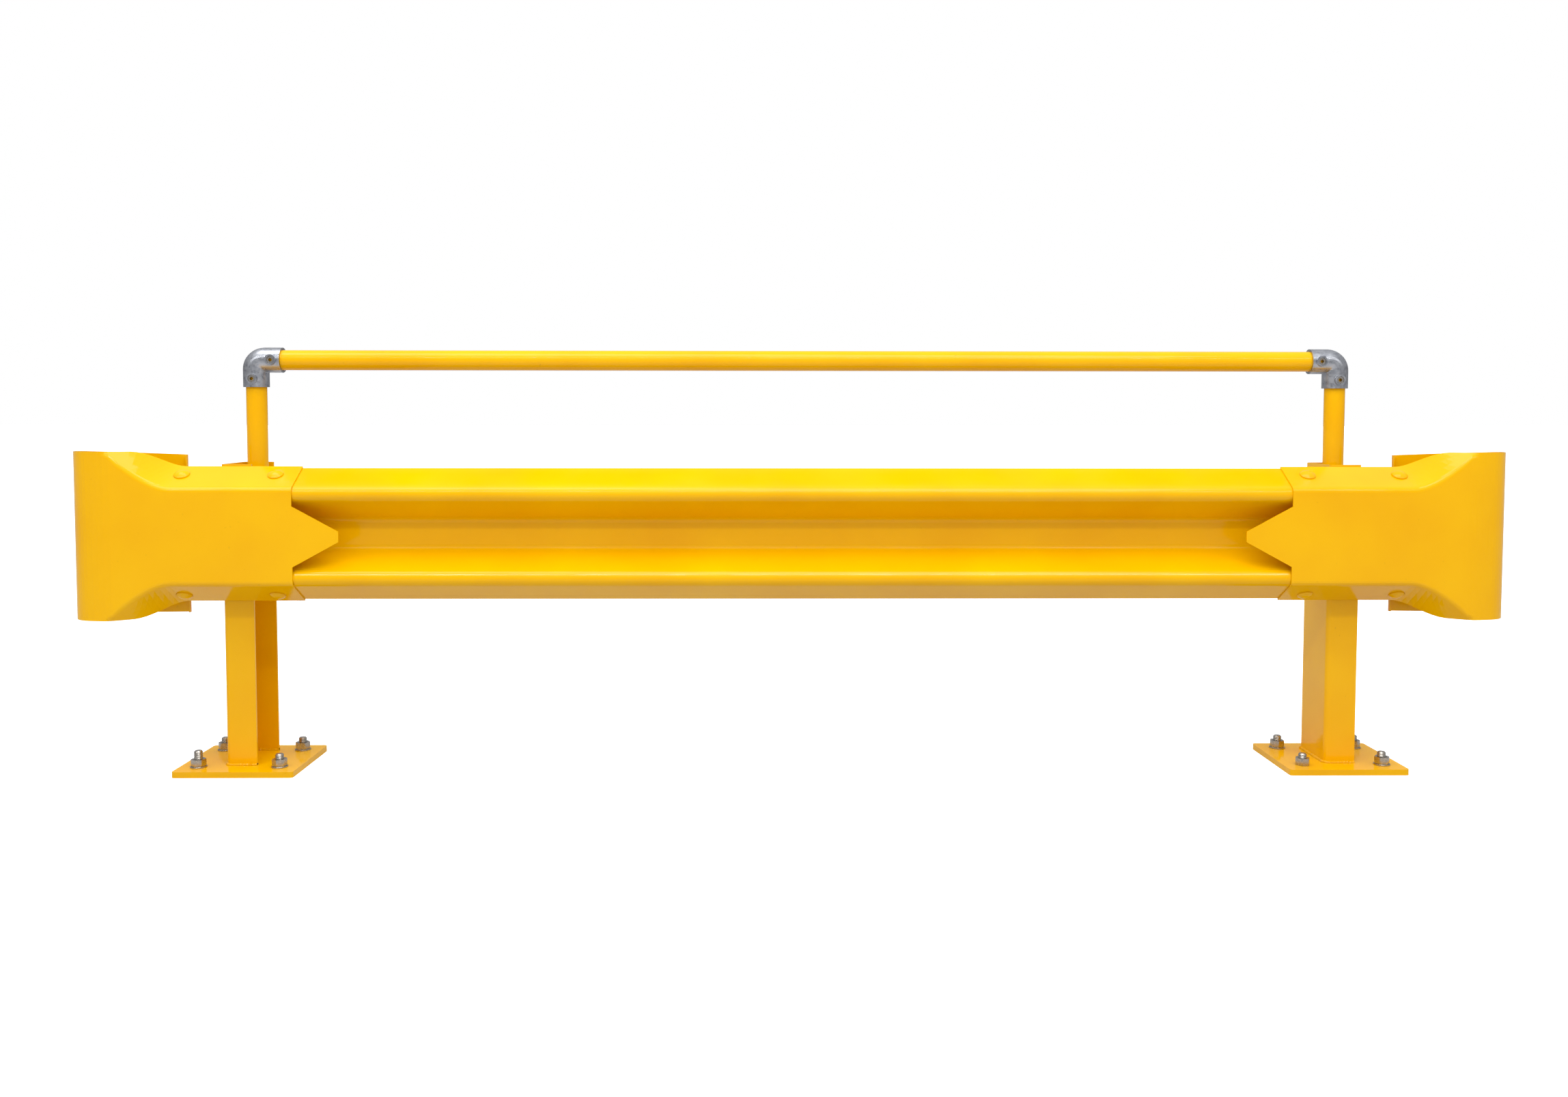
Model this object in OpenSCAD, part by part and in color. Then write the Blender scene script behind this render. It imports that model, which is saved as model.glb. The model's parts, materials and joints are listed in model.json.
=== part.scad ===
// Industrial guardrail: one free-standing bay. A pressed W-section rail bolted to two channel
// posts on base plates, a wrap-round bullnose end at each side, and a tube handrail above.
// Units mm. +Z up, +X along the rail, the rail's face looks to -Y.
// Origin: centre of the overall box, at the underside of the base plates.

/* [Rail] */
// Height of the rail's centre line above the floor
rail_centre_height = 565; // [540:5:640]
// Depth of the rail from its crests to the post face
rail_depth = 83; // [80:1:90]
// Distance of each crest from the rail's centre line
crest_offset = 97; // [94:1:100]
// Bend radius of crests and valley, at mid thickness
rail_bend_r = 20; // [18:1:22]
// Thickness of the rail and of the bullnose sheet
sheet_t = 3; // [2.5:0.5:4]

/* [Bullnose ends] */
// Overall length, from nose tip to nose tip
overall_length = 3340; // [2400:10:4100]
// Length of each bullnose end, from its nose tip to its inboard edge
bullnose_length = 520; // [515:1:530]
// Height of the nose
nose_height = 389; // [380:1:400]
// Outside width of the nose, front face to return leg
nose_width = 136; // [130:1:150]
// Length of the arrow tab that reaches over the valley
tab_length = 106; // [80:1:120]
// Height of the arrow tab where it leaves the edge
tab_base = 140; // [120:1:160]
// Height of the arrow tab's blunt tip
tab_tip = 24; // [10:1:40]

/* [Posts and base plates] */
// Distance of each post's centre from the nose tip beside it
post_inset = 363; // [350:1:370]
// Height of the post's top above the floor
post_top = 728; // [725:1:800]
// Depth of the channel post, front flange to back flange
post_depth = 150; // [145:1:180]
// Width of the post's flanges
flange_width = 72; // [70:1:80]
// Wall thickness of the post
post_wall = 6; // [5:0.5:8]
// Width of the base plate along the rail
plate_width = 282; // [270:1:320]
// Depth of the base plate across the rail
plate_depth = 255; // [250:1:280]
// Thickness of the base plate
plate_t = 14; // [10:1:20]
// How far the base plate reaches in front of the post's face
plate_front = 63; // [55:1:70]
// Anchor hole spacing along the rail
anchor_spacing_x = 190; // [180:1:200]
// Anchor hole spacing across the rail
anchor_spacing_y = 162; // [156:1:170]
// Anchor hole diameter
anchor_hole_d = 22; // [20:1:24]

/* [Handrail] */
// Height of the handrail tube's centre above the floor
handrail_height = 975; // [900:5:1100]
// Outside diameter of the handrail tube
tube_d = 48.3; // [48:0.1:48.6]
// Wall thickness of the handrail tube
tube_wall = 3.2; // [2.5:0.1:4]
// Distance of the left upright from the web face of its post
upright_inset_left = 46; // [37:1:54]
// Distance of the right upright from the web face of its post
upright_inset_right = 52; // [37:1:54]

/* [Hidden] */
$fn = 64;
slide_gap = 0.3;             // gap left between sheets laid over each other
outer_slope = 61;            // slope of the rail's outer flanks against its face
inner_slope = 58;            // slope of the flanks that run down to the valley

// rail section: centres of the bend arcs at mid thickness, depth counted back from the crests
crest_d = sheet_t / 2 + rail_bend_r;
valley_d = rail_depth - sheet_t / 2 - rail_bend_r;
inner_run = (valley_d - crest_d + 2 * rail_bend_r * cos(inner_slope)) / sin(inner_slope);
valley_z = crest_offset - 2 * rail_bend_r * sin(inner_slope) - inner_run * cos(inner_slope);
outer_rise = rail_depth - sheet_t / 2 - crest_d + rail_bend_r * cos(outer_slope);
outer_run = outer_rise / sin(outer_slope);
lip_z = crest_offset + rail_bend_r * sin(outer_slope) + outer_run * cos(outer_slope);

// the box: nose front face to the back edge of the base plates, with Y = 0 halfway
skin = sheet_t + slide_gap;
post_face_y = (rail_depth + skin - (plate_depth - plate_front)) / 2;
crest_y = post_face_y - rail_depth;
front_y = crest_y - skin;
plate_y = post_face_y - plate_front + plate_depth / 2;
plate_corner_r = 8;
post_corner_r = 10;
post_x = overall_length / 2 - post_inset;
terminal_edge_x = overall_length / 2 - bullnose_length;
rail_length = 2 * (terminal_edge_x + 315);  // the ends are hidden inside the bullnose ends

// bullnose sheet: slopes lie parallel to the rail's outer flanks
skin_z = (sheet_t * 1.5 + slide_gap) / sin(outer_slope);
end_lip_d = rail_depth + skin - sheet_t * cos(outer_slope) - slide_gap;
crest_line_z = lip_z + skin_z - (rail_depth + skin - sheet_t / 2) / tan(outer_slope);
end_lip_z = crest_line_z + end_lip_d / tan(outer_slope);
flare_start = terminal_edge_x + 271;
flare_end = terminal_edge_x + 380;
crease_start = terminal_edge_x + 284;
crease_end = terminal_edge_x + 416;
nose_z = nose_height / 2;
crease_nose_z = nose_z - 8;
crease_soft = 9;
bend1_r = 300;
bend1_a = 14;
bend2_r = (nose_width - bend1_r * (1 - cos(bend1_a))) / (1 + cos(bend1_a));
nose_x = overall_length / 2;
bend_x = nose_x - bend1_r * sin(bend1_a) - bend2_r * (1 - sin(bend1_a));
return_x = terminal_edge_x + 286;
return_top_drop = 10;
return_low_drop = 3;
hem_r = 6;
hem_len = 8;

// bolts
bolt_d = 16;
bolt_hole_d = 18;
head_d = 36;
head_h = 10;
head_rim = 2.5;
nut_h = 13;
nut_af = 24;
end_bolt_x = [terminal_edge_x + 52, terminal_edge_x + 268];
end_bolt_z = 140;
seat_gap = 0.1;
end_bolt_d = (end_bolt_z - crest_line_z) * tan(outer_slope);
end_bolt_grip = 2 * sheet_t + slide_gap + 1;

// handrail fittings
elbow_d = tube_d + 12.1;
elbow_bore = tube_d + 1.3;
elbow_bend = 22;
elbow_stop = tube_d / 2 + 3.85;
elbow_reach = elbow_stop + 37;
boss_d = 26;
boss_r = elbow_d / 2 + 5;
boss_at = elbow_reach - 20;
screw_d = 17;
screw_key = 9;
socket_d = tube_d + 12;
socket_bore = tube_d + 1.6;
socket_top = rail_centre_height + 125;
socket_floor = rail_centre_height - 25;
socket_floor_t = 6;
socket_drain = 14;
upright_y = post_face_y + post_depth - post_wall - socket_d / 2;
upright_left_x = -post_x - flange_width / 2 + upright_inset_left;
upright_right_x = post_x - flange_width / 2 + upright_inset_right;
tube_end = elbow_stop + 0.2;

yellow = [0.90, 0.66, 0.02];
zinc = [0.66, 0.68, 0.70];

// ---------- W-section rail ----------

// one half of the section as a line, moved out by o from mid thickness: [z, depth]
function crest_arc(o) = [for (a = [outer_slope : -7 : -inner_slope + 3])
    [crest_offset + (rail_bend_r + o) * sin(a), crest_d - (rail_bend_r + o) * cos(a)]];
function crest_end(o) =
    [crest_offset - (rail_bend_r + o) * sin(inner_slope),
     crest_d - (rail_bend_r + o) * cos(inner_slope)];
function valley_arc(o) = [for (a = [-inner_slope : 7 : 0])
    [valley_z - (rail_bend_r - o) * sin(a), valley_d + (rail_bend_r - o) * cos(a)]];
function lip_end(o) =
    [lip_z + o * sin(outer_slope), rail_depth - sheet_t / 2 - o * cos(outer_slope)];
function half_line(o) =
    concat([lip_end(o)], crest_arc(o), [crest_end(o)], valley_arc(o),
        [[valley_z, valley_d + rail_bend_r - o]]);
function turned(line) = [for (i = [len(line) - 1 : -1 : 0]) [-line[i][0], line[i][1]]];
function section_line(o) = concat(half_line(o), turned(half_line(o)));
function backwards(line) = [for (i = [len(line) - 1 : -1 : 0]) line[i]];

// everything on the sloping flanks is placed by its X, side of the rail, and depth
module on_slope(x, side) {
    translate([x, front_y + end_bolt_d, rail_centre_height + side * end_bolt_z])
        rotate([side > 0 ? 90 - outer_slope : 90 + outer_slope, 0, 0])
            children();
}

module end_bolt_places() {
    for (x = end_bolt_x)
        for (side = [-1, 1])
            on_slope(x, side)
                children();
}

module w_beam_rail() {
    color(yellow)
        difference() {
            translate([-rail_length / 2, crest_y, rail_centre_height])
                rotate([90, 0, 90])
                    rail_upright_section();
            for (m = [0, 1])
                mirror([m, 0, 0])
                    end_bolt_places()
                        cylinder(h = 40, d = bolt_hole_d, center = true);
            for (x = [-post_x, post_x])
                translate([x, post_face_y, rail_centre_height])
                    rotate([90, 0, 0])
                        cylinder(h = 20, d = bolt_hole_d, center = true);
        }
}

// the section stood up: drawing X is depth, drawing Y is height
module rail_upright_section() {
    linear_extrude(height = rail_length)
        polygon([for (p = concat(section_line(sheet_t / 2),
                                 backwards(section_line(-sheet_t / 2)))) [p[1], p[0]]]);
}

// ---------- bullnose ends ----------

function clamp01(v) = min(1, max(0, v));
function smooth(v) = let (c = clamp01(v)) c * c * (3 - 2 * c);
function mix(a, b, f) = a + (b - a) * f;

// how the sheet opens out from the rail's slopes to the flat nose, by distance from the middle
function lip_height(x) =
    mix(end_lip_z, nose_z, smooth((x - flare_start) / (flare_end - flare_start)));
function lip_depth(x) =
    end_lip_d * pow(cos(90 * clamp01((x - flare_start) / (flare_end + 50 - flare_start))), 1.3);
function crease_height(x) =
    mix(crest_line_z, crease_nose_z,
        pow(clamp01((x - crease_start) / (crease_end - crease_start)), 1.6));

// outer profile from the top lip to the middle: [height, depth behind the face]
function soft_corner(a, b, c, f) =
    a * (1 - f) * (1 - f) + b * 2 * f * (1 - f) + c * f * f;
function half_profile(zl, dl, zc) =
    let (lip = [zl, dl], crease = [zc, 0], run = norm(lip - crease),
         reach = min(crease_soft, 0.45 * run),
         from = crease + (lip - crease) * reach / run,
         to = crease - [reach, 0])
    concat([lip, mix(lip, from, 0.34), mix(lip, from, 0.68)],
        [for (f = [0 : 0.25 : 1]) soft_corner(from, crease, to, f)],
        [[zc * 0.62, 0], [zc * 0.3, 0]]);
function full_profile(zl, dl, zc) =
    let (half = half_profile(zl, dl, zc))
    concat(half, [[0, 0]], turned(half));

// stations along the sheet: [x, y, heading, x that sets the profile, share of the return]
front_xs = concat([for (x = [0, 90, 180, 250]) terminal_edge_x + x],
    [for (x = [terminal_edge_x + 270 : 12 : bend_x - 6]) x]);
bend1_steps = 5;
bend2_steps = 22;
nose_c1 = [bend_x, front_y + bend1_r];
nose_c2 = [bend_x + (bend1_r - bend2_r) * sin(bend1_a),
    front_y + bend1_r - (bend1_r - bend2_r) * cos(bend1_a)];
return_y = front_y + nose_width;
stations = concat(
    [for (x = front_xs) [x, front_y, 0, x, 0]],
    [for (i = [0 : bend1_steps - 1]) let (a = bend1_a * i / bend1_steps)
        [nose_c1[0] + bend1_r * sin(a), nose_c1[1] - bend1_r * cos(a), a,
         bend_x + bend1_r * a * PI / 180, 0]],
    [for (i = [0 : bend2_steps]) let (a = mix(bend1_a, 180, i / bend2_steps))
        [nose_c2[0] + bend2_r * sin(a), nose_c2[1] - bend2_r * cos(a), a,
         bend_x + bend1_r * bend1_a * PI / 180 + bend2_r * (a - bend1_a) * PI / 180,
         0.4 * smooth((a - 80) / 100)]],
    [for (f = [0.33, 0.66, 1])
        [mix(nose_c2[0], return_x + hem_r, f), return_y, 180, nose_x + 130, mix(0.4, 1, f)]],
    [for (a = [22.5, 45, 67.5, 90])
        [return_x + hem_r - hem_r * sin(a), return_y - hem_r * (1 - cos(a)), 180 + a, nose_x + 130, 1]],
    [[return_x, return_y - hem_r - hem_len, 270, nose_x + 130, 1]]);

// outer skin point: profile set across the heading
function skin_point(s, p) =
    let (top = nose_z - s[4] * return_top_drop, low = nose_z - s[4] * return_low_drop,
         z = p[0] > 0 ? p[0] * top / nose_z : p[0] * low / nose_z)
    [s[0] - p[1] * sin(s[2]), s[1] + p[1] * cos(s[2]), rail_centre_height + z];
skin_rows = [for (s = stations)
    let (profile = full_profile(lip_height(s[3]), lip_depth(s[3]), crease_height(s[3])))
    [for (p = profile) skin_point(s, p)]];
row_n = len(skin_rows);
col_n = len(skin_rows[0]);
function unit(v) = v / norm(v);
function inner_point(i, j) =
    let (along = skin_rows[min(i + 1, row_n - 1)][j] - skin_rows[max(i - 1, 0)][j],
         across = skin_rows[i][min(j + 1, col_n - 1)] - skin_rows[i][max(j - 1, 0)])
    skin_rows[i][j] - unit(cross(across, along)) * sheet_t;
skin_points = concat(
    [for (i = [0 : row_n - 1]) for (j = [0 : col_n - 1]) skin_rows[i][j]],
    [for (i = [0 : row_n - 1]) for (j = [0 : col_n - 1]) inner_point(i, j)]);
function at(i, j) = i * col_n + j;
inner_at = row_n * col_n;
skin_faces = concat(
    [for (i = [0 : row_n - 2]) for (j = [0 : col_n - 2]) [at(i, j), at(i + 1, j), at(i + 1, j + 1)]],
    [for (i = [0 : row_n - 2]) for (j = [0 : col_n - 2]) [at(i, j), at(i + 1, j + 1), at(i, j + 1)]],
    [for (i = [0 : row_n - 2]) for (j = [0 : col_n - 2])
        [inner_at + at(i, j), inner_at + at(i + 1, j + 1), inner_at + at(i + 1, j)]],
    [for (i = [0 : row_n - 2]) for (j = [0 : col_n - 2])
        [inner_at + at(i, j), inner_at + at(i, j + 1), inner_at + at(i + 1, j + 1)]],
    [for (i = [0 : row_n - 2]) [at(i, 0), inner_at + at(i, 0), inner_at + at(i + 1, 0)]],
    [for (i = [0 : row_n - 2]) [at(i, 0), inner_at + at(i + 1, 0), at(i + 1, 0)]],
    [for (i = [0 : row_n - 2]) let (j = col_n - 1)
        [at(i, j), inner_at + at(i + 1, j), inner_at + at(i, j)]],
    [for (i = [0 : row_n - 2]) let (j = col_n - 1)
        [at(i, j), at(i + 1, j), inner_at + at(i + 1, j)]],
    [for (j = [0 : col_n - 2]) [at(0, j), inner_at + at(0, j + 1), inner_at + at(0, j)]],
    [for (j = [0 : col_n - 2]) [at(0, j), at(0, j + 1), inner_at + at(0, j + 1)]],
    [for (j = [0 : col_n - 2]) let (i = row_n - 1)
        [at(i, j), inner_at + at(i, j), inner_at + at(i, j + 1)]],
    [for (j = [0 : col_n - 2]) let (i = row_n - 1)
        [at(i, j), inner_at + at(i, j + 1), at(i, j + 1)]]);

module bullnose_sheet() {
    polyhedron(points = skin_points, faces = skin_faces, convexity = 8);
    // arrow tab over the valley
    translate([terminal_edge_x, front_y + sheet_t, rail_centre_height])
        rotate([90, 0, 0])
            linear_extrude(height = sheet_t)
                polygon([[4, tab_base / 2], [0, tab_base / 2], [-tab_length, tab_tip / 2],
                    [-tab_length, -tab_tip / 2], [0, -tab_base / 2], [4, -tab_base / 2]]);
}

module bullnose_end() {
    color(yellow)
        difference() {
            bullnose_sheet();
            end_bolt_places()
                cylinder(h = 40, d = bolt_hole_d, center = true);
            // flat seats under the bolt heads
            end_bolt_places()
                cylinder(h = 20, d = head_d + 1);
        }
}

module button_bolt(grip) {
    cap_h = head_h - head_rim;
    cap_r = (head_d * head_d / 4 + cap_h * cap_h) / (2 * cap_h);
    intersection() {
        translate([0, 0, head_h - cap_r])
            sphere(r = cap_r, $fn = 96);
        translate([0, 0, seat_gap])
            cylinder(h = head_h, d = head_d - 0.4);
    }
    translate([0, 0, -grip])
        cylinder(h = grip + 2, d = bolt_d);
}

module hex_nut(hole) {
    difference() {
        cylinder(h = nut_h, d = nut_af / cos(30), $fn = 6);
        translate([0, 0, -1])
            cylinder(h = nut_h + 2, d = hole);
    }
}

module bullnose_bolts() {
    color(yellow)
        end_bolt_places()
            button_bolt(end_bolt_grip + nut_h + 4);
}

module bullnose_nuts() {
    color(yellow)
        end_bolt_places()
            translate([0, 0, -end_bolt_grip - nut_h])
                hex_nut(bolt_d + 0.6);
}

// ---------- posts ----------

module rounded_left(w, d, r) {
    translate([r, 0])
        square([w - r, d]);
    translate([0, r])
        square([w, d - 2 * r]);
    translate([r, r])
        circle(r = r);
    translate([r, d - r])
        circle(r = r);
}

module channel_post() {
    color(yellow)
        translate([-flange_width / 2, post_face_y, plate_t])
            difference() {
                linear_extrude(height = post_top - plate_t)
                    rounded_left(flange_width, post_depth, post_corner_r);
                translate([post_wall, post_wall, -1])
                    linear_extrude(height = post_top - plate_t + 2)
                        rounded_left(flange_width, post_depth - 2 * post_wall,
                            post_corner_r - post_wall);
                translate([flange_width / 2, -1, rail_centre_height - plate_t])
                    rotate([-90, 0, 0])
                        cylinder(h = post_wall + 2, d = bolt_hole_d);
            }
}

module post_bolt() {
    color(yellow)
        translate([0, post_face_y - sheet_t, rail_centre_height])
            rotate([90, 0, 0])
                button_bolt(sheet_t + post_wall + nut_h + 4);
}

module post_nut() {
    color(yellow)
        translate([0, post_face_y + post_wall + seat_gap, rail_centre_height])
            rotate([-90, 0, 0])
                hex_nut(bolt_d + 0.6);
}

module base_plate() {
    r = plate_corner_r;
    w = plate_width / 2;
    d = plate_depth / 2;
    color(yellow)
        translate([0, plate_y, 0])
            difference() {
                linear_extrude(height = plate_t) {
                    square([plate_width - 2 * r, plate_depth], center = true);
                    square([plate_width, plate_depth - 2 * r], center = true);
                    for (x = [-w + r, w - r])
                        for (y = [-d + r, d - r])
                            translate([x, y])
                                circle(r = r);
                }
                for (x = [-1, 1])
                    for (y = [-1, 1])
                        translate([x * anchor_spacing_x / 2, y * anchor_spacing_y / 2, -1])
                            cylinder(h = plate_t + 2, d = anchor_hole_d);
            }
}

// ---------- handrail ----------

module tube(length) {
    difference() {
        cylinder(h = length, d = tube_d, $fn = 96);
        translate([0, 0, -1])
            cylinder(h = length + 2, d = tube_d - 2 * tube_wall, $fn = 96);
    }
}

module handrail_tube() {
    color(yellow)
        translate([upright_left_x + tube_end, upright_y, handrail_height])
            rotate([0, 90, 0])
                tube(upright_right_x - upright_left_x - 2 * tube_end);
}

// a length of tube that stands in the socket welded inside the post
module upright_tube(x) {
    low = socket_floor + socket_floor_t;
    color(yellow)
        translate([x, upright_y, low])
            tube(handrail_height - tube_end - low);
}

module handrail_socket(x) {
    color(yellow)
        difference() {
            translate([x, upright_y, socket_floor])
                cylinder(h = socket_top - socket_floor, d = socket_d, $fn = 96);
            translate([x, upright_y, socket_floor + socket_floor_t])
                cylinder(h = socket_top, d = socket_bore, $fn = 96);
            translate([x, upright_y, socket_floor - 1])
                cylinder(h = 20, d = socket_drain);
            socket_screw_places(x)
                translate([0, 0, tube_d / 2 - 2])
                    cylinder(h = 20, d = 10.4);
        }
}

// two set screws on the side that faces the rail
module socket_screw_places(x) {
    for (z = [socket_floor + 40, socket_top - 40])
        translate([x, upright_y, z])
            rotate([90, 0, 0])
                children();
}

module socket_screws(x) {
    color(zinc)
        socket_screw_places(x)
            difference() {
                translate([0, 0, tube_d / 2 + seat_gap])
                    cylinder(h = 12, d = 10);
                translate([0, 0, tube_d / 2 + 7])
                    cylinder(h = 12, d = 6, $fn = 6);
            }
}

// right-angle fitting, drawn with one arm along +X and one down
module elbow_arms(d, from, to) {
    translate([from, 0, 0])
        rotate([0, 90, 0])
            cylinder(h = to - from, d = d);
    translate([0, 0, -to])
        cylinder(h = to - from, d = d);
}

// the rounded heel: a 36-sided ring section swept through the right angle
module elbow_bend_solid(d) {
    section = [for (a = [0 : 10 : 350])
        [max(0.4, elbow_bend + d / 2 * cos(a)), d / 2 * sin(a)]];
    translate([elbow_bend, 0, -elbow_bend])
        rotate([90, 0, 0])
            rotate([0, 0, 90])
                rotate_extrude(angle = 90)
                    polygon(section);
}

module elbow_boss_places() {
    translate([boss_at, 0, 0])
        rotate([90, 0, 0])
            children();
    translate([0, 0, -boss_at])
        rotate([90, 0, 0])
            children();
}

module elbow_fitting() {
    color(zinc)
        difference() {
            union() {
                elbow_arms(elbow_d, elbow_bend - 2, elbow_reach);
                elbow_bend_solid(elbow_d - 0.2);
                elbow_boss_places()
                    cylinder(h = boss_r, d = boss_d);
            }
            // the bores stop at the solid heel of the casting
            elbow_arms(elbow_bore, elbow_stop, elbow_reach + 1);
            elbow_boss_places()
                translate([0, 0, tube_d / 4])
                    cylinder(h = boss_r, d = screw_d + 0.6);
        }
}

module elbow_screws() {
    color(zinc)
        elbow_boss_places()
            difference() {
                translate([0, 0, tube_d / 2 + seat_gap])
                    cylinder(h = boss_r - tube_d / 2 - 2.5, d = screw_d);
                // the key hole runs through, so the tube shows at its foot
                translate([0, 0, tube_d / 2 - 1])
                    cylinder(h = 20, d = screw_key, $fn = 6);
            }
}

module at_left_corner() {
    translate([upright_left_x, upright_y, handrail_height])
        children();
}

module at_right_corner() {
    translate([upright_right_x, upright_y, handrail_height])
        mirror([1, 0, 0])
            children();
}

// ---------- nodes ----------

module left_base_plate() { translate([-post_x, 0, 0]) base_plate(); }
module right_base_plate() { translate([post_x, 0, 0]) base_plate(); }
module left_post() { translate([-post_x, 0, 0]) channel_post(); }
module right_post() { translate([post_x, 0, 0]) channel_post(); }
module right_bullnose_end() { bullnose_end(); }
module left_bullnose_end() { mirror([1, 0, 0]) bullnose_end(); }
module right_bullnose_bolts() { bullnose_bolts(); }
module left_bullnose_bolts() { mirror([1, 0, 0]) bullnose_bolts(); }
module right_bullnose_nuts() { bullnose_nuts(); }
module left_bullnose_nuts() { mirror([1, 0, 0]) bullnose_nuts(); }
module left_post_bolt() { translate([-post_x, 0, 0]) post_bolt(); }
module right_post_bolt() { translate([post_x, 0, 0]) post_bolt(); }
module left_post_nut() { translate([-post_x, 0, 0]) post_nut(); }
module right_post_nut() { translate([post_x, 0, 0]) post_nut(); }
module left_handrail_socket() { handrail_socket(upright_left_x); }
module right_handrail_socket() { handrail_socket(upright_right_x); }
module left_socket_screws() { socket_screws(upright_left_x); }
module right_socket_screws() { socket_screws(upright_right_x); }
module left_upright_tube() { upright_tube(upright_left_x); }
module right_upright_tube() { upright_tube(upright_right_x); }
module left_elbow_fitting() { at_left_corner() elbow_fitting(); }
module right_elbow_fitting() { at_right_corner() elbow_fitting(); }
module left_elbow_screws() { at_left_corner() elbow_screws(); }
module right_elbow_screws() { at_right_corner() elbow_screws(); }

w_beam_rail();
handrail_tube();
left_base_plate();
right_base_plate();
left_post();
right_post();
left_bullnose_end();
right_bullnose_end();
left_bullnose_bolts();
right_bullnose_bolts();
left_bullnose_nuts();
right_bullnose_nuts();
left_post_bolt();
right_post_bolt();
left_post_nut();
right_post_nut();
left_handrail_socket();
right_handrail_socket();
left_socket_screws();
right_socket_screws();
left_upright_tube();
right_upright_tube();
left_elbow_fitting();
right_elbow_fitting();
left_elbow_screws();
right_elbow_screws();
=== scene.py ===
# %% [markdown]
# # Industrial guardrail
# One free-standing bay: a pressed W-section rail on two channel posts, wrapped ends, and a tube
# handrail held by cast elbows. The solids come from the CAD frame. This script gives them their
# finish and adds what is too fine for the solids: floor anchors, weld beads and marks.
# Units are metres, +Z up, +X along the rail, and the rail's face looks to -Y.

# %% Load the frame
import json
import math
import random
import bpy
import bmesh
from mathutils import Matrix, Vector


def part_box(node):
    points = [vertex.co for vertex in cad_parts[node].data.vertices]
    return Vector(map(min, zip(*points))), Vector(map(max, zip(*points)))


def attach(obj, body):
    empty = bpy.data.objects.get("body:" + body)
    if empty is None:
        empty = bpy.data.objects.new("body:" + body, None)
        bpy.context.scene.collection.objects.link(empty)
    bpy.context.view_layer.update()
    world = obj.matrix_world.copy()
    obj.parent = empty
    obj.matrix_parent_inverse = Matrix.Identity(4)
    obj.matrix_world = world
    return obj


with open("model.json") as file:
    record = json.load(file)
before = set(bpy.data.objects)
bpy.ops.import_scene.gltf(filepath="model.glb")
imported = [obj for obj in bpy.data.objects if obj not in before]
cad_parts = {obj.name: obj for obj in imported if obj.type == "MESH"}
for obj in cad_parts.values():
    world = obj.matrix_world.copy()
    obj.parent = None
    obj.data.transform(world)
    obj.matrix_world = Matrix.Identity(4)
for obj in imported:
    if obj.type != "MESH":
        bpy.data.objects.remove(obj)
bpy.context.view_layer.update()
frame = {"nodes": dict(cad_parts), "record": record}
record = frame["record"]
nodes = frame["nodes"]
print("solids in the frame:", len(nodes))

# %% [markdown]
# ## Helpers
# Colours are written as sRGB hex and turned linear in one place. `add` puts a shader node in a
# tree and sets its sockets. `mm` turns millimetres into metres.

# %% Helpers
mm = 0.001


def linear(hex_colour):
    out = []
    for i in (0, 2, 4):
        c = int(hex_colour[i:i + 2], 16) / 255
        out.append(c / 12.92 if c <= 0.04045 else ((c + 0.055) / 1.055) ** 2.4)
    return (*out, 1.0)


def add(tree, kind, links=None, settings=None, **values):
    made = tree.nodes.new(kind)
    for name, value in (settings or {}).items():
        setattr(made, name, value)
    for name, value in values.items():
        made.inputs[name.replace("_", " ")].default_value = value
    for name, source in (links or {}).items():
        tree.links.new(source, made.inputs[name])
    return made


def noise(tree, where, size_mm, detail=2.0, rough=0.5):
    return add(tree, "ShaderNodeTexNoise", {"Vector": where}, Scale=1 / (size_mm * mm),
               Detail=detail, Roughness=rough)


def ramp(tree, factor, stops):
    made = add(tree, "ShaderNodeValToRGB", {"Fac": factor})
    line = made.color_ramp
    for i, (at, colour) in enumerate(stops):
        stop = line.elements[i] if i < 2 else line.elements.new(at)
        stop.position = at
        stop.color = linear(colour)
    return made.outputs["Color"]


def span(tree, value, low, high, to_low, to_high):
    made = add(tree, "ShaderNodeMapRange", {"Value": value}, From_Min=low, From_Max=high,
               To_Min=to_low, To_Max=to_high)
    return made.outputs["Result"]


def new_material(name):
    mat = bpy.data.materials.new(name)
    mat.use_nodes = True
    tree = mat.node_tree
    tree.nodes.clear()
    where = add(tree, "ShaderNodeTexCoord").outputs["Object"]
    skin = add(tree, "ShaderNodeBsdfPrincipled")
    out = add(tree, "ShaderNodeOutputMaterial", {"Surface": skin.outputs["BSDF"]})
    return mat, tree, where, skin


def bump(tree, skin, height, depth_mm, strength=1.0):
    made = add(tree, "ShaderNodeBump", {"Height": height}, Strength=strength,
               Distance=depth_mm * mm)
    tree.links.new(made.outputs["Normal"], skin.inputs["Normal"])


# %% [markdown]
# ## Finishes
# The steel is powder coated in a gloss golden yellow: a thin orange-peel ripple, slow drifts of
# tone, and a few specks of grime. The elbows are hot-dip galvanised castings with a mottled grey
# bloom. The anchors are bright zinc.

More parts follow.
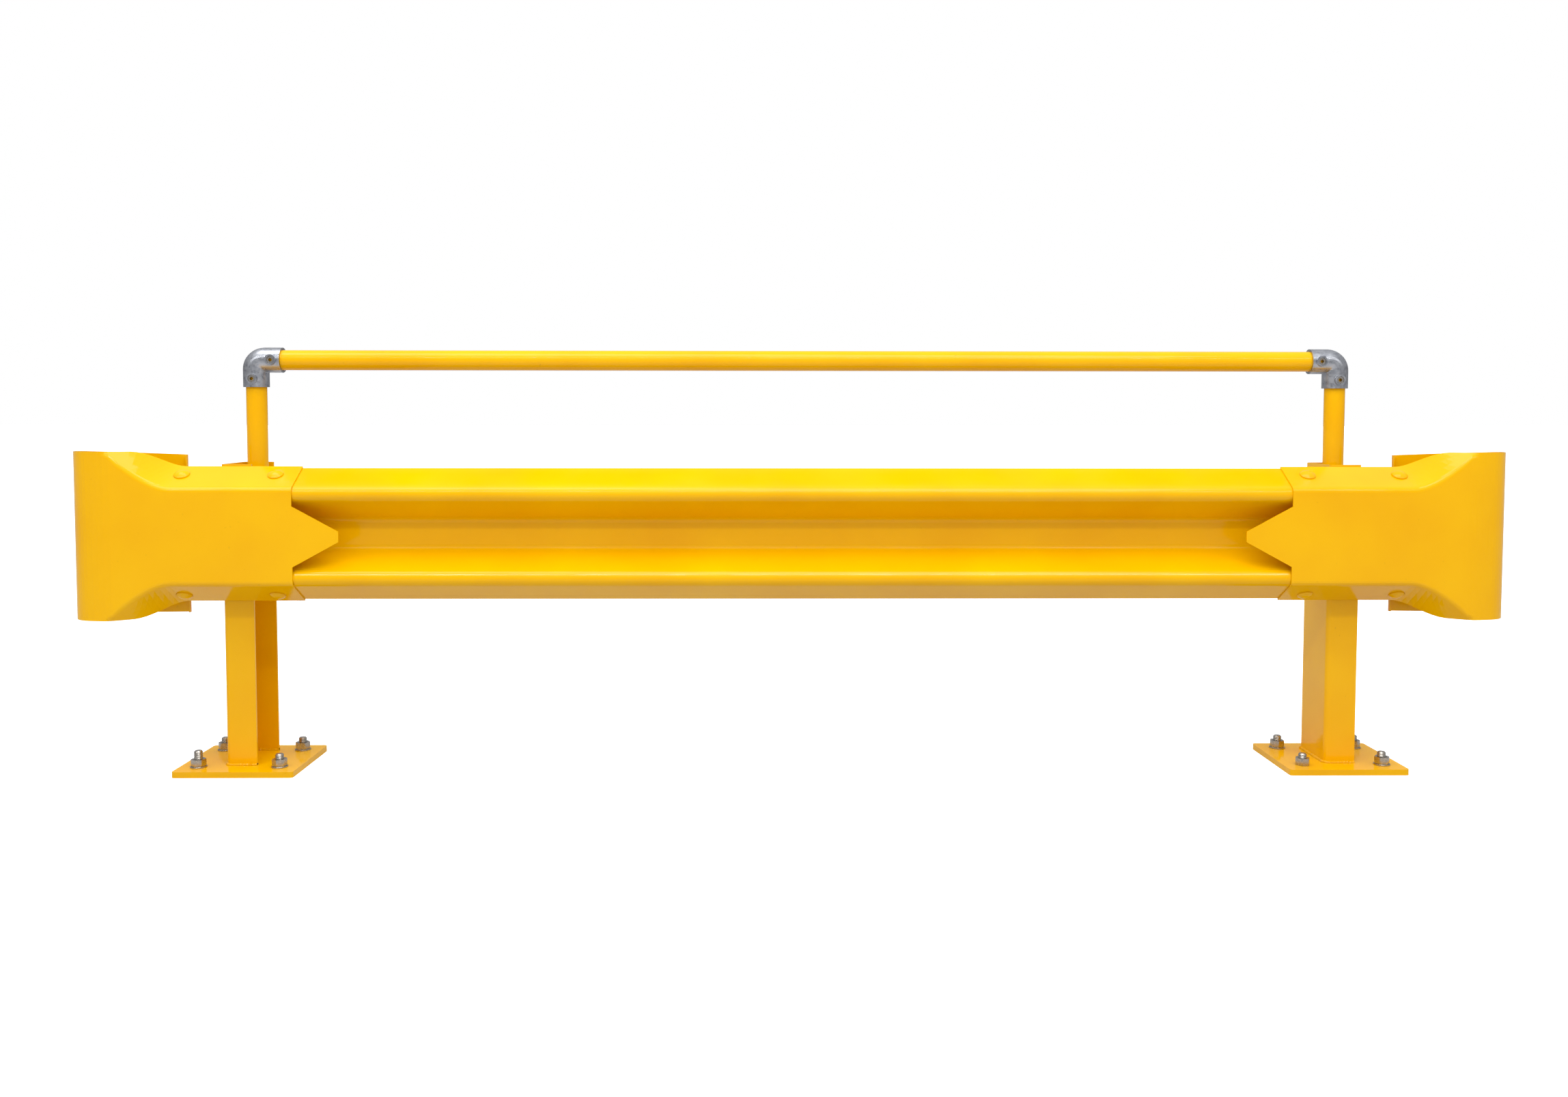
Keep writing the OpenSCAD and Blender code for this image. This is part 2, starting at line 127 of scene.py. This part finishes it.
# %% Yellow powder coat
def yellow_paint(name, base="F0B600", warm="EAAA00", spots=0.5):
    mat, tree, where, skin = new_material(name)
    drift = noise(tree, where, 260, 3).outputs["Fac"]
    tone = ramp(tree, drift, [(0.3, warm), (0.7, base)])
    speck = noise(tree, where, 9, 1).outputs["Fac"]
    grime = span(tree, speck, 0.74 + 0.04 * (1 - spots), 0.80, 0.0, 0.55 * spots)
    mixed = add(tree, "ShaderNodeMix", {"Factor": grime, "A": tone},
                {"data_type": "RGBA"})
    tree.links.new(grime, mixed.inputs[0])
    tree.links.new(tone, mixed.inputs[6])
    mixed.inputs[7].default_value = linear("9A6A10")
    tree.links.new(mixed.outputs[2], skin.inputs["Base Color"])
    skin.inputs["IOR"].default_value = 1.5
    skin.inputs["Specular IOR Level"].default_value = 0.25
    smear = noise(tree, where, 120, 4).outputs["Fac"]
    tree.links.new(span(tree, smear, 0.3, 0.7, 0.08, 0.16), skin.inputs["Roughness"])
    peel = noise(tree, where, 3.2, 1).outputs["Fac"]
    bump(tree, skin, peel, 0.02, 0.4)
    return mat


# %% Galvanised casting, zinc plate, dark recess and weld
def zinc_metal(name, light, dark, rough, cell_mm, depth_mm):
    mat, tree, where, skin = new_material(name)
    bloom = noise(tree, where, cell_mm, 4, 0.6).outputs["Fac"]
    tree.links.new(ramp(tree, bloom, [(0.3, dark), (0.7, light)]), skin.inputs["Base Color"])
    skin.inputs["Metallic"].default_value = 1.0
    streak = noise(tree, where, cell_mm * 0.5, 3).outputs["Fac"]
    tree.links.new(span(tree, streak, 0.3, 0.7, rough - 0.08, rough + 0.1),
                   skin.inputs["Roughness"])
    grain = noise(tree, where, cell_mm * 0.3, 3).outputs["Fac"]
    bump(tree, skin, grain, depth_mm, 0.8)
    return mat


paint = yellow_paint("yellow powder coat")
sheet_paint = yellow_paint("yellow powder coat on sheet", spots=0.25)
weld_paint = yellow_paint("yellow powder coat on weld", warm="E09A00", spots=1.0)
galvanised = zinc_metal("hot-dip galvanised casting", "C9CBD0", "A6A9B0", 0.32, 16, 0.05)
plated = zinc_metal("zinc plated steel", "C8C2B8", "A9A299", 0.28, 4, 0.03)

# %% [markdown]
# ## Solids from the frame
# Each solid keeps its shape. A fine bevel catches the light along its edges, and smooth shading
# keeps the bends round.

# %% Finish each solid
def soften(piece, width_mm, angle=32):
    if width_mm:
        edge = piece.modifiers.new("soft edge", "BEVEL")
        edge.width = width_mm * mm
        edge.segments = 2
        edge.limit_method = "ANGLE"
        edge.angle_limit = math.radians(angle)
        edge.harden_normals = False
    for face in piece.data.polygons:
        face.use_smooth = True
    piece.data.set_sharp_from_angle(angle=math.radians(angle))


edge_mm = {"base_plate": 1.0, "post": 0.6, "elbow_fitting": 0.9, "bullnose_nuts": 0.5}
for name, piece in nodes.items():
    short = name.replace("left_", "").replace("right_", "")
    finish = paint
    if "elbow_fitting" in name:
        finish = galvanised
    elif "elbow_screws" in name or "socket_screws" in name:
        finish = plated
    elif "bullnose_end" in name or "beam" in name:
        finish = sheet_paint
    piece.data.materials.clear()
    piece.data.materials.append(finish)
    soften(piece, edge_mm.get(short, 0))
    print(name, "->", finish.name)

# %% [markdown]
# ## Floor anchors
# Each base plate is held by four M20 studs with a hex nut and a washer. A stud is a lathe profile
# with a ridge for every turn of thread; the nut has chamfered corners; the washer lies flat.

# %% Lathe and prism builders
def mesh_piece(name, bm, mat, sharp=35):
    bmesh.ops.recalc_face_normals(bm, faces=bm.faces)
    data = bpy.data.meshes.new(name)
    bm.to_mesh(data)
    bm.free()
    data.materials.append(mat)
    for face in data.polygons:
        face.use_smooth = True
    data.set_sharp_from_angle(angle=math.radians(sharp))
    piece = bpy.data.objects.new(name, data)
    bpy.context.collection.objects.link(piece)
    return piece


def lathe(bm, centre, profile, around=32, lean=(0, 0)):
    rings = []
    for r, z in profile:
        ring = []
        for k in range(around):
            a = 2 * math.pi * k / around
            ring.append(bm.verts.new((centre[0] + r * math.cos(a) + lean[0] * z,
                                      centre[1] + r * math.sin(a) + lean[1] * z,
                                      centre[2] + z)))
        rings.append(ring)
    for low, high in zip(rings, rings[1:]):
        for k in range(around):
            n = (k + 1) % around
            bm.faces.new((low[k], low[n], high[n], high[k]))
    bm.faces.new(rings[0][::-1])
    bm.faces.new(rings[-1])


def hex_prism(bm, centre, across_flats, height, turn, bore):
    # a chamfered hex ring: corners are cut back at both ends
    corner = across_flats / math.sqrt(3)
    levels = [(0, 0.94), (height * 0.1, 1.0), (height * 0.9, 1.0), (height, 0.94)]
    rings = []
    for z, s in levels:
        ring = []
        for k in range(48):
            a = 2 * math.pi * k / 48
            inside = (a % (math.pi / 3)) - math.pi / 6
            flat = across_flats / 2 / math.cos(inside)
            r = min(flat, corner * (0.955 if s < 1 else 1.0))
            ring.append(bm.verts.new((centre[0] + r * math.cos(a + turn),
                                      centre[1] + r * math.sin(a + turn), centre[2] + z)))
        rings.append(ring)
    rings.append([bm.verts.new((centre[0] + bore * math.cos(2 * math.pi * k / 48 + turn),
                                centre[1] + bore * math.sin(2 * math.pi * k / 48 + turn),
                                centre[2] + height)) for k in range(48)])
    for low, high in zip(rings, rings[1:]):
        for k in range(48):
            n = (k + 1) % 48
            bm.faces.new((low[k], low[n], high[n], high[k]))
    bm.faces.new(rings[0][::-1])


# %% Place the anchors
stud_d = 20 * mm
nut_af, nut_h = 30 * mm, 17 * mm
washer_d, washer_t = 38 * mm, 3 * mm
turns = random.Random(4)
stand_out = {("left", 0, 0): 20, ("left", 1, 0): 12, ("left", 0, 1): 12, ("left", 1, 1): 12,
             ("right", 0, 0): 11, ("right", 1, 0): 12, ("right", 0, 1): 12, ("right", 1, 1): 12}


def stud_profile(top):
    # thread crests every 2.5 mm, from under the plate's top up to a chamfered end
    points = [(stud_d / 2 - 1.2 * mm, 0)]
    z = 1.0 * mm
    while z < top - 3 * mm:
        points += [(stud_d / 2 - 1.2 * mm, z), (stud_d / 2, z + 1.0 * mm)]
        z += 2.5 * mm
    points += [(stud_d / 2 - 1.2 * mm, top - 1.5 * mm), (stud_d / 2 - 2.6 * mm, top)]
    return points


for mount in record["mounts"]:
    if mount["kind"] != "bolt_pattern":
        continue
    side = mount["name"].split("_")[0]
    low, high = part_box(side + "_base_plate")
    plate_top = high[2]
    bm = bmesh.new()
    for ix in (0, 1):
        for iy in (0, 1):
            x = mount["pos_m"][0] + (ix - 0.5) * mount["dims"]["spacing_x_mm"] * mm
            y = mount["pos_m"][1] + (iy - 0.5) * mount["dims"]["spacing_y_mm"] * mm
            bare = side == "right" and ix == 0 and iy == 0
            seat = plate_top + (0.2 * mm if bare else washer_t)
            if not bare:
                lathe(bm, (x, y, plate_top), [(washer_d / 2, 0.1 * mm), (washer_d / 2, washer_t * 0.8),
                                              (washer_d / 2 - 0.6 * mm, washer_t)], 48)
            hex_prism(bm, (x, y, seat), nut_af, nut_h, turns.uniform(0, 1), stud_d / 2)
            top = seat + nut_h + stand_out[(side, ix, iy)] * mm
            lean = (-0.03, 0) if side == "right" and ix == 1 and iy == 0 else (0, 0)
            lathe(bm, (x, y, 1 * mm), stud_profile(top - 1 * mm), 24, lean)
    anchors = mesh_piece(side + "_floor_anchors", bm, plated)
    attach(anchors, "root")
    print(side, "anchors:", len(anchors.data.polygons), "faces")

# %% [markdown]
# ## Weld beads
# A fillet bead runs round the foot of each post. Its section swells and shrinks with each ripple,
# and the path follows the outline of the channel.

# %% Weld beads
def bead(bm, path, radius, step=2.2 * mm, seed=1):
    dice = random.Random(seed)
    points = []
    for a, b in zip(path, path[1:]):
        a, b = Vector(a), Vector(b)
        count = max(2, int((b - a).length / step))
        points += [a.lerp(b, k / count) for k in range(count)]
    points.append(Vector(path[-1]))
    rings = []
    for i, p in enumerate(points):
        before = points[max(0, i - 1)]
        after = points[min(len(points) - 1, i + 1)]
        along = (after - before).normalized()
        side = along.cross(Vector((0, 0, 1)))
        r = radius * (1 + 0.16 * math.sin(i * 1.9) + dice.uniform(-0.14, 0.14))
        rings.append([bm.verts.new(p + side * (r * math.cos(a)) + Vector((0, 0, r * math.sin(a))))
                      for a in [math.pi * k / 8 for k in range(9)]])
    for low, high in zip(rings, rings[1:]):
        for k in range(8):
            bm.faces.new((low[k], low[k + 1], high[k + 1], high[k]))
    bm.faces.new(rings[0])
    bm.faces.new(rings[-1][::-1])


for side in ("left", "right"):
    low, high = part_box(side + "_post")
    z = low[2] + 0.3 * mm
    c = 7 * mm
    outline = [(high[0], low[1], z), (low[0] + c, low[1], z), (low[0], low[1] + c, z),
               (low[0], high[1] - c, z), (low[0] + c, high[1], z), (high[0], high[1], z)]
    wall = 6 * mm
    inside = [(high[0], low[1] + wall, z), (low[0] + wall, low[1] + wall, z),
              (low[0] + wall, high[1] - wall, z), (high[0], high[1] - wall, z)]
    bm = bmesh.new()
    bead(bm, outline, 4.5 * mm, seed=3)
    bead(bm, inside, 3.5 * mm, seed=5)
    weld = mesh_piece(side + "_post_weld", bm, weld_paint, 60)
    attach(weld, "root")
    print(side, "weld:", len(weld.data.polygons), "faces")

# %% [markdown]
# ## Floor and light
# A plain white floor, a broad soft light overhead and a weaker fill from the front.

# %% Floor
floor_bm = bmesh.new()
bmesh.ops.create_grid(floor_bm, x_segments=1, y_segments=1, size=60)
floor_mat, floor_tree, floor_where, floor_skin = new_material("white floor")
looked_at = add(floor_tree, "ShaderNodeLightPath").outputs["Is Camera Ray"]
tone = ramp(floor_tree, looked_at, [(0.0, "B8B8B8"), (1.0, "FFFFFF")])
floor_tree.links.new(tone, floor_skin.inputs["Base Color"])
floor_skin.inputs["Roughness"].default_value = 0.9
floor_skin.inputs["Emission Color"].default_value = linear("FFFFFF")
lift = span(floor_tree, looked_at, 0, 1, 0, 0.55)
floor_tree.links.new(lift, floor_skin.inputs["Emission Strength"])
floor = mesh_piece("floor", floor_bm, floor_mat)

# %% World
world = bpy.data.worlds.new("studio")
bpy.context.scene.world = world
world.use_nodes = True
tree = world.node_tree
tree.nodes.clear()
direction = add(tree, "ShaderNodeTexCoord").outputs["Generated"]
height = add(tree, "ShaderNodeSeparateXYZ", {"Vector": direction}).outputs["Z"]
glow = span(tree, height, -0.1, 0.8, 0.30, 1.30)
mirrored = add(tree, "ShaderNodeLightPath").outputs["Is Glossy Ray"]
dim = span(tree, mirrored, 0, 1, 1.0, 0.5)
glow = add(tree, "ShaderNodeMath", {0: glow, 1: dim}, {"operation": "MULTIPLY"}).outputs[0]
soft = add(tree, "ShaderNodeBackground", {"Strength": glow}, Color=linear("FBFCFF"))
white = add(tree, "ShaderNodeBackground", Color=linear("FFFFFF"), Strength=1.0)
seen = add(tree, "ShaderNodeLightPath").outputs["Is Camera Ray"]
both = add(tree, "ShaderNodeMixShader", {"Fac": seen})
tree.links.new(soft.outputs["Background"], both.inputs[1])
tree.links.new(white.outputs["Background"], both.inputs[2])
add(tree, "ShaderNodeOutputWorld", {"Surface": both.outputs["Shader"]})


# %% Lamps
def softbox(name, place, aim, size, power, colour="FFFFFF"):
    data = bpy.data.lights.new(name, "AREA")
    data.shape = "RECTANGLE"
    data.size, data.size_y = size
    data.energy = power
    data.color = linear(colour)[:3]
    lamp = bpy.data.objects.new(name, data)
    bpy.context.collection.objects.link(lamp)
    lamp.location = place
    lamp.rotation_euler = (Vector(aim) - Vector(place)).to_track_quat("-Z", "Y").to_euler()


softbox("overhead", (-0.4, -1.2, 3.6), (0, 0, 0.5), (5.0, 1.6), 80)
softbox("front fill", (0.6, -4.5, 2.2), (0, 0, 0.5), (4.5, 2.0), 9)
softbox("strip over the rail", (0, -2.2, 2.6), (0, 0, 0.6), (5.5, 0.06), 26)
softbox("left panel", (-2.6, -1.6, 1.9), (-1.3, 0, 0.7), (0.7, 0.5), 2.5)
softbox("right panel", (2.7, -1.7, 1.8), (1.3, 0, 0.7), (0.6, 0.5), 2)

# %% [markdown]
# ## Camera
# A moderately wide lens about 3.2 m in front of the rail, a little under handrail height, with
# a small vertical shift.

# %% Camera
frame_w, frame_h = 2296, 1607
focal_px = 1998.0
centre_row = 704.1
eye = bpy.data.cameras.new("camera")
eye.sensor_width = 36
eye.lens = 36 * focal_px / frame_w
eye.shift_y = (centre_row - frame_h / 2) / frame_w
camera = bpy.data.objects.new("camera", eye)
bpy.context.collection.objects.link(camera)
turn = Matrix.Rotation(-0.01262, 4, "Z") @ Matrix.Rotation(math.pi / 2 + -0.05392, 4, "X")
tilt = Matrix.Rotation(0.00112, 4, "Z")
camera.matrix_world = Matrix.Translation((-0.0634, -3.2617, 0.8633)) @ turn @ tilt
bpy.context.scene.camera = camera
bpy.context.scene.view_settings.view_transform = "Standard"
bpy.context.scene.view_settings.look = "None"
